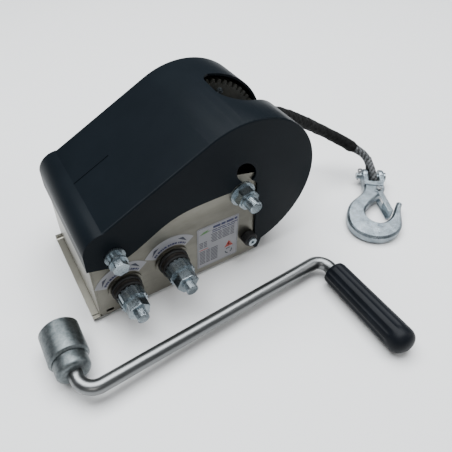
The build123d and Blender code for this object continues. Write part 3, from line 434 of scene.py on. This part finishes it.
def loop_line():
    """Teardrop line of the eye round the clevis pin, in the plane across the pin."""
    rise = Vector((-HOOK_DIR[0] * cos(EYE_RISE), -HOOK_DIR[1] * cos(EYE_RISE), sin(EYE_RISE)))
    pin = Vector((-HOOK_DIR[1], HOOK_DIR[0], 0.0))
    along = rise * cos(EYE_LEAN) - pin * sin(EYE_LEAN)
    through = pin * cos(EYE_LEAN) + rise * sin(EYE_LEAN)
    across = through.cross(along)
    return smooth_line([PIN_AT + along * a + across * b for a, b in EYE_OUTLINE], FINE_STEP)


def make_rope():
    """The sheathed tail, the braided neck and the eye round the clevis pin."""
    tail_line = smooth_line(ROPE_ROUTE, ROUTE_STEP)
    neck_line = smooth_line(NECK_ROUTE, FINE_STEP)
    vertices, faces, uvs = tube_mesh(tail_line, SHEATH_SIDES, sheath_radius)
    tail = piece("rope_sheath_tube", vertices, faces, [MATERIALS["rope_sheath"]], "frame", uvs)
    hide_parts("rope_tail")
    neck = braid("braided_neck", neck_line, lambda share: MM * (NECK_R - NECK_NARROWING * share ** 0.5),
                 MM * NECK_PITCH, MM * NECK_STRAND_R, "frame")
    loop = braid("braided_eye", loop_line(), lambda share: MM * EYE_ROPE_R, MM * EYE_PITCH, MM * EYE_STRAND_R,
                 "frame")
    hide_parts("rope_eye")


def make_winding():
    """Rope laid side by side on the drum."""
    x, z = DRUM_AXIS
    radius = MM * (WINDING_R - ROPE_R)
    y0, y1 = WINDING_Y
    turns = round((y1 - y0) / (2 * ROPE_R))
    pitch = (y1 - y0) / turns
    count = WINDING_STEPS * (turns - 1)
    line = []
    for k in range(count + 1):
        angle = 2 * pi * k / WINDING_STEPS
        y = y0 + pitch * (0.5 + k / WINDING_STEPS)
        line.append(Vector((MM * x + radius * cos(angle), MM * y, MM * z + radius * sin(angle))))
    vertices, faces, uvs = tube_mesh(line, WINDING_SIDES, lambda share, angle: MM * ROPE_R)
    winding = piece("wound_rope", vertices, faces, [MATERIALS["braided_rope"]], "drum", uvs)
    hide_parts("rope_winding")


# ---- turned and moulded details ------------------------------------------------------------
def turned(axis, rows, sides, radius_at):
    """Rings round an axis along Y; each row gives its Y and the value that radius_at takes."""
    x, z = axis
    vertices, faces = [], []
    for y, value in rows:
        for j in range(sides):
            angle = 2 * pi * j / sides
            r = radius_at(value, j / sides, angle)
            vertices.append((MM * x + r * cos(angle), MM * y, MM * z + r * sin(angle)))
    for i in range(len(rows) - 1):
        for j in range(sides):
            n = (j + 1) % sides
            faces.append((i * sides + j, (i + 1) * sides + j, (i + 1) * sides + n, i * sides + n))
    return vertices, faces


def thread(name, axis, span, radius, pitch, body):
    """Screw thread along Y over a plain shaft end."""
    y0, y1 = span
    count = ceil((y1 - y0) / pitch * THREAD_ROWS)
    heights = [y0 + (y1 - y0) * i / count for i in range(count + 1)]

    def radius_at(y, share_round, angle):
        wave = abs(((y / pitch + share_round) % 1.0) * 2 - 1)
        return MM * (radius + THREAD_HEIGHT * (wave - THREAD_MIDDLE))

    vertices, faces = turned(axis, [(y, y) for y in heights], THREAD_SIDES, radius_at)
    return piece(name, vertices, faces, [MATERIALS["bright_zinc"]], body)


def make_threads():
    thread("low_shaft_thread", LOW_AXIS, SHAFT_TIP_Y, THREAD_R, SHAFT_PITCH, "low_shaft")
    thread("high_shaft_thread", HIGH_AXIS, SHAFT_TIP_Y, THREAD_R, SHAFT_PITCH, "high_shaft")
    thread("axle_thread", DRUM_AXIS, AXLE_THREAD_Y, AXLE_THREAD_R, AXLE_PITCH, "frame")


def grip_radius(share, share_round, angle):
    """Slightly swelling handle with broad flutes that fade out before the round cap."""
    swell = GRIP_R - GRIP_INSET + GRIP_SWELL * (1 - share)
    cap = max(0.0, 1 - share / CAP_SHARE)
    rim = max(0.0, (share - RIM_START) / RIM_SPAN)
    radius = swell * (1 - cap ** CAP_POWER) ** 0.5 if cap < 1 else CAP_TIP_R
    fade = min(1.0, max(0.0, (share - FLUTE_START) / FLUTE_FADE)) * (1 - rim)
    flute = max(0.0, cos(FLUTES * angle)) ** FLUTE_POWER
    return MM * (radius - FLUTE_DEPTH * fade * flute - RIM_PINCH * rim ** 2)


def make_grip():
    y0, y1 = GRIP_Y
    shares = [(i / GRIP_ROWS) ** GRIP_CROWDING for i in range(GRIP_ROWS + 1)]
    rows = [(y0 + (y1 - y0) * share, share) for share in shares]
    vertices, faces = turned(GRIP_AXIS, rows, GRIP_SIDES, grip_radius)
    faces.append(tuple(range(GRIP_SIDES)))
    faces.append(tuple(reversed(range(GRIP_ROWS * GRIP_SIDES, (GRIP_ROWS + 1) * GRIP_SIDES))))
    grip = piece("fluted_grip", vertices, faces, [MATERIALS["black_grip_plastic"]], "grip")
    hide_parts("crank_grip")


def soften_edges():
    """Small rounded edges that catch the light on the pressed and moulded pieces."""
    for name, width in EDGE_WIDTHS.items():
        weld = NODES[name].modifiers.new("weld", "WELD")
        weld.merge_threshold = WELD_MM * MM
        bevel = NODES[name].modifiers.new("edges", "BEVEL")
        bevel.width = width * MM
        bevel.segments = EDGE_SEGMENTS
        bevel.limit_method = "ANGLE"
        bevel.angle_limit = EDGE_ANGLE
        bevel.harden_normals = False


# ---- printing on the stickers --------------------------------------------------------------
BLUE, GREY, RED = (0.008, 0.010, 0.060), (0.022, 0.022, 0.040), (0.30, 0.022, 0.010)
GREEN, DARK, PALE = (0.055, 0.15, 0.035), (0.008, 0.010, 0.030), (0.6, 0.5, 0.45)
PRINT_GAP = 0.06
WORD_GAP = 0.9
ARC_STEPS = 3
BORDER = ((20.4, 12.9, 68.6, 13.2), (20.4, 72.8, 68.6, 73.1), (20.4, 13.2, 20.7, 72.8), (68.3, 13.2, 68.6, 72.8))
LEAF = [(22, 64), (27, 67.5), (34, 68.5), (31, 66.5), (37, 66.2), (29, 64.6)]
WARNING = [(53, 29), (64, 29), (58.5, 38.5)]
WARNING_STROKE = [(57.7, 30.4), (59.3, 30.4), (58.9, 35), (58.1, 35)]
RING_CENTRE, RING_R, RING_HEIGHT, RING_SWEEP = (58.5, 22.5), 3.4, 1.4, 80
# Blocks of text: left, right, top line, line step, lines, shift of odd lines, height, words, colour.
TEXT_BLOCKS = (
    (38.5, 68.0, 67.5, 0.0, 1, 0, 3.4, (0.30, 0.18, 0.30, 0.12), BLUE),
    (37.5, 68.0, 64.2, 0.0, 1, 0, 1.5, (0.2, 0.3, 0.14, 0.28), BLUE),
    (37.5, 68.0, 61.6, 0.0, 1, 0, 1.3, (0.35, 0.2, 0.3), BLUE),
    (36.0, 66.0, 58.6, 2.3, 6, 1, 1.15, (0.25, 0.15, 0.3, 0.16), GREY),
    (22.0, 33.0, 51.0, 2.4, 4, 0, 1.2, (0.4, 0.35), GREY),
    (22.0, 34.0, 40.0, 0.0, 1, 0, 1.0, (0.9,), RED),
    (22.0, 46.0, 37.0, 2.4, 9, 0, 1.2, (0.3, 0.2, 0.36), GREY),
)
SHAFT_LABELS = ((LOW_AXIS, 48, 152), (HIGH_AXIS, 48, 144))
ARC_TEXT_R, ARC_TEXT_HEIGHT, ARC_MARGIN = 22.6, 2.4, 4
LETTER_SWEEP, LETTER_GROWTH, LETTER_SIZES = 3.6, 1.6, 3
LETTER_GAP, ARC_WORD_GAP, ARC_WORD_LETTERS = 1.3, 3.4, 4
ARROW_INSET, ARROW_HALF, ARROW_NOTCH = 14, 13, 2
ARROW_TAIL_R, ARROW_OUTER_R, ARROW_TIP_R, ARROW_INNER_R = 27, 31.2, 29.6, 27.8


class Print:
    """Flat inked shapes just above the front plate's stickers, drawn in X and Z millimetres."""

    def __init__(self, y):
        self.y, self.vertices, self.faces, self.colours = y, [], [], []

    def shape(self, points, colour):
        base = len(self.vertices)
        self.vertices += [(MM * x, MM * self.y, MM * z) for x, z in points]
        self.faces.append(tuple(range(base, base + len(points))))
        self.colours.append(colour)

    def bar(self, x0, z0, x1, z1, colour):
        self.shape([(x0, z0), (x1, z0), (x1, z1), (x0, z1)], colour)

    def arc_block(self, centre, radius, height, start, end, colour):
        cx, cz = centre
        outer = radius + height
        angles = [radians(start + (end - start) * k / ARC_STEPS) for k in range(ARC_STEPS + 1)]
        points = [(cx + radius * cos(a), cz + radius * sin(a)) for a in reversed(angles)]
        points += [(cx + outer * cos(a), cz + outer * sin(a)) for a in angles]
        self.shape(points, colour)

    def finish(self, name):
        obj = piece(name, self.vertices, self.faces, [INK], "frame")
        layer = obj.data.color_attributes.new("ink", "FLOAT_COLOR", "CORNER")
        for polygon, colour in zip(obj.data.polygons, self.colours):
            for loop in polygon.loop_indices:
                layer.data[loop].color = (*colour, 1.0)


def text_bars(ink, x0, x1, z, height, words, colour):
    """A line of unreadable blocks in the place of words."""
    x = x0
    for share in words:
        width = share * (x1 - x0)
        ink.bar(x, z, x + width, z + height, colour)
        x += width + WORD_GAP


def print_rating_label(ink):
    for edge in BORDER:
        ink.bar(*edge, DARK)
    ink.shape(LEAF, GREEN)
    for left, right, top, step, lines, shift, height, words, colour in TEXT_BLOCKS:
        for row in range(lines):
            text_bars(ink, left + shift * (row % 2), right, top - step * row, height, words, colour)
    ink.shape(WARNING, RED)
    ink.shape(WARNING_STROKE, PALE)
    for start in (60, 180, 300):
        ink.arc_block(RING_CENTRE, RING_R, RING_HEIGHT, start, start + RING_SWEEP, DARK)


def print_arc_text(ink, centre, low, high):
    angle = low
    step = 0
    while angle < high - ARC_MARGIN:
        width = LETTER_SWEEP + LETTER_GROWTH * (step % LETTER_SIZES)
        ink.arc_block(centre, ARC_TEXT_R, ARC_TEXT_HEIGHT, angle, angle + width, BLUE)
        ends_word = step % ARC_WORD_LETTERS == ARC_WORD_LETTERS - 1
        angle += width + (ARC_WORD_GAP if ends_word else LETTER_GAP)
        step += 1


def print_arrow(ink, centre, middle, way):
    """Curved arrow whose tip points up the angle when way is 1 and down it when way is -1."""
    cx, cz = centre
    tail, tip = radians(middle - ARROW_HALF * way), radians(middle + ARROW_HALF * way)
    notch = radians(middle + ARROW_NOTCH * way)
    corners = ((ARROW_TAIL_R, tail), (ARROW_OUTER_R, notch), (ARROW_TIP_R, tip), (ARROW_INNER_R, notch))
    ink.shape([(cx + r * cos(a), cz + r * sin(a)) for r, a in corners][::way], DARK)


def print_shaft_labels(ink):
    for centre, low, high in SHAFT_LABELS:
        print_arc_text(ink, centre, low, high)
        print_arrow(ink, centre, low + ARROW_INSET, 1)
        print_arrow(ink, centre, high - ARROW_INSET, -1)


# ---- stage ---------------------------------------------------------------------------------
FLOOR_HALF = 6.0
FLOOR_COLOUR = (0.82, 0.82, 0.82, 1.0)
FLOOR_ROUGH, FLOOR_SPECULAR = 0.7, 0.2
SKY_COLOUR, SKY_STRENGTH = (0.92, 0.95, 1.0, 1.0), 0.22
# Lights: name, place, target, size, power, colour.
LIGHTS = (
    ("overhead", (0.1, 0.3, 1.9), (0.05, 0.0, 0.05), (2.2, 1.6), 112.0, (0.95, 0.98, 1.0)),
    ("front", (-0.9, -1.5, 1.3), (0.0, 0.0, 0.05), (0.7, 0.5), 5.0, (1.0, 0.97, 0.93)),
    ("right", (1.5, -0.9, 1.0), (0.1, 0.0, 0.05), (0.5, 0.7), 8.0, (1.0, 1.0, 1.0)),
)


def area_light(name, place, target, size, power, colour):
    data = bpy.data.lights.new(name, "AREA")
    data.shape = "RECTANGLE"
    data.size, data.size_y = size
    data.energy = power
    data.color = colour
    light = bpy.data.objects.new(name, data)
    light.location = place
    light.rotation_euler = (Vector(target) - Vector(place)).to_track_quat("-Z", "Y").to_euler()
    bpy.context.collection.objects.link(light)


def make_floor():
    half = FLOOR_HALF
    mesh = bpy.data.meshes.new("floor")
    mesh.from_pydata([(-half, -half, 0), (half, -half, 0), (half, half, 0), (-half, half, 0)], [], [(0, 1, 2, 3)])
    mat, _, _, shader = new_material("pale floor")
    shader.inputs["Base Color"].default_value = FLOOR_COLOUR
    shader.inputs["Roughness"].default_value = FLOOR_ROUGH
    shader.inputs["Specular IOR Level"].default_value = FLOOR_SPECULAR
    mesh.materials.append(mat)
    floor = bpy.data.objects.new("floor", mesh)
    bpy.context.collection.objects.link(floor)


def make_stage():
    make_floor()
    world = bpy.data.worlds.new("studio")
    world.use_nodes = True
    background = world.node_tree.nodes["Background"]
    background.inputs["Color"].default_value = SKY_COLOUR
    background.inputs["Strength"].default_value = SKY_STRENGTH
    bpy.context.scene.world = world
    for light in LIGHTS:
        area_light(*light)


# ---- assemble ------------------------------------------------------------------------------
place_camera()
make_rope()
paint_nodes()
make_winding()
make_threads()
make_grip()
soften_edges()
printing = Print(FRONT_FACE_Y - PRINT_GAP)
print_rating_label(printing)
print_shaft_labels(printing)
printing.finish("sticker_printing")
make_stage()
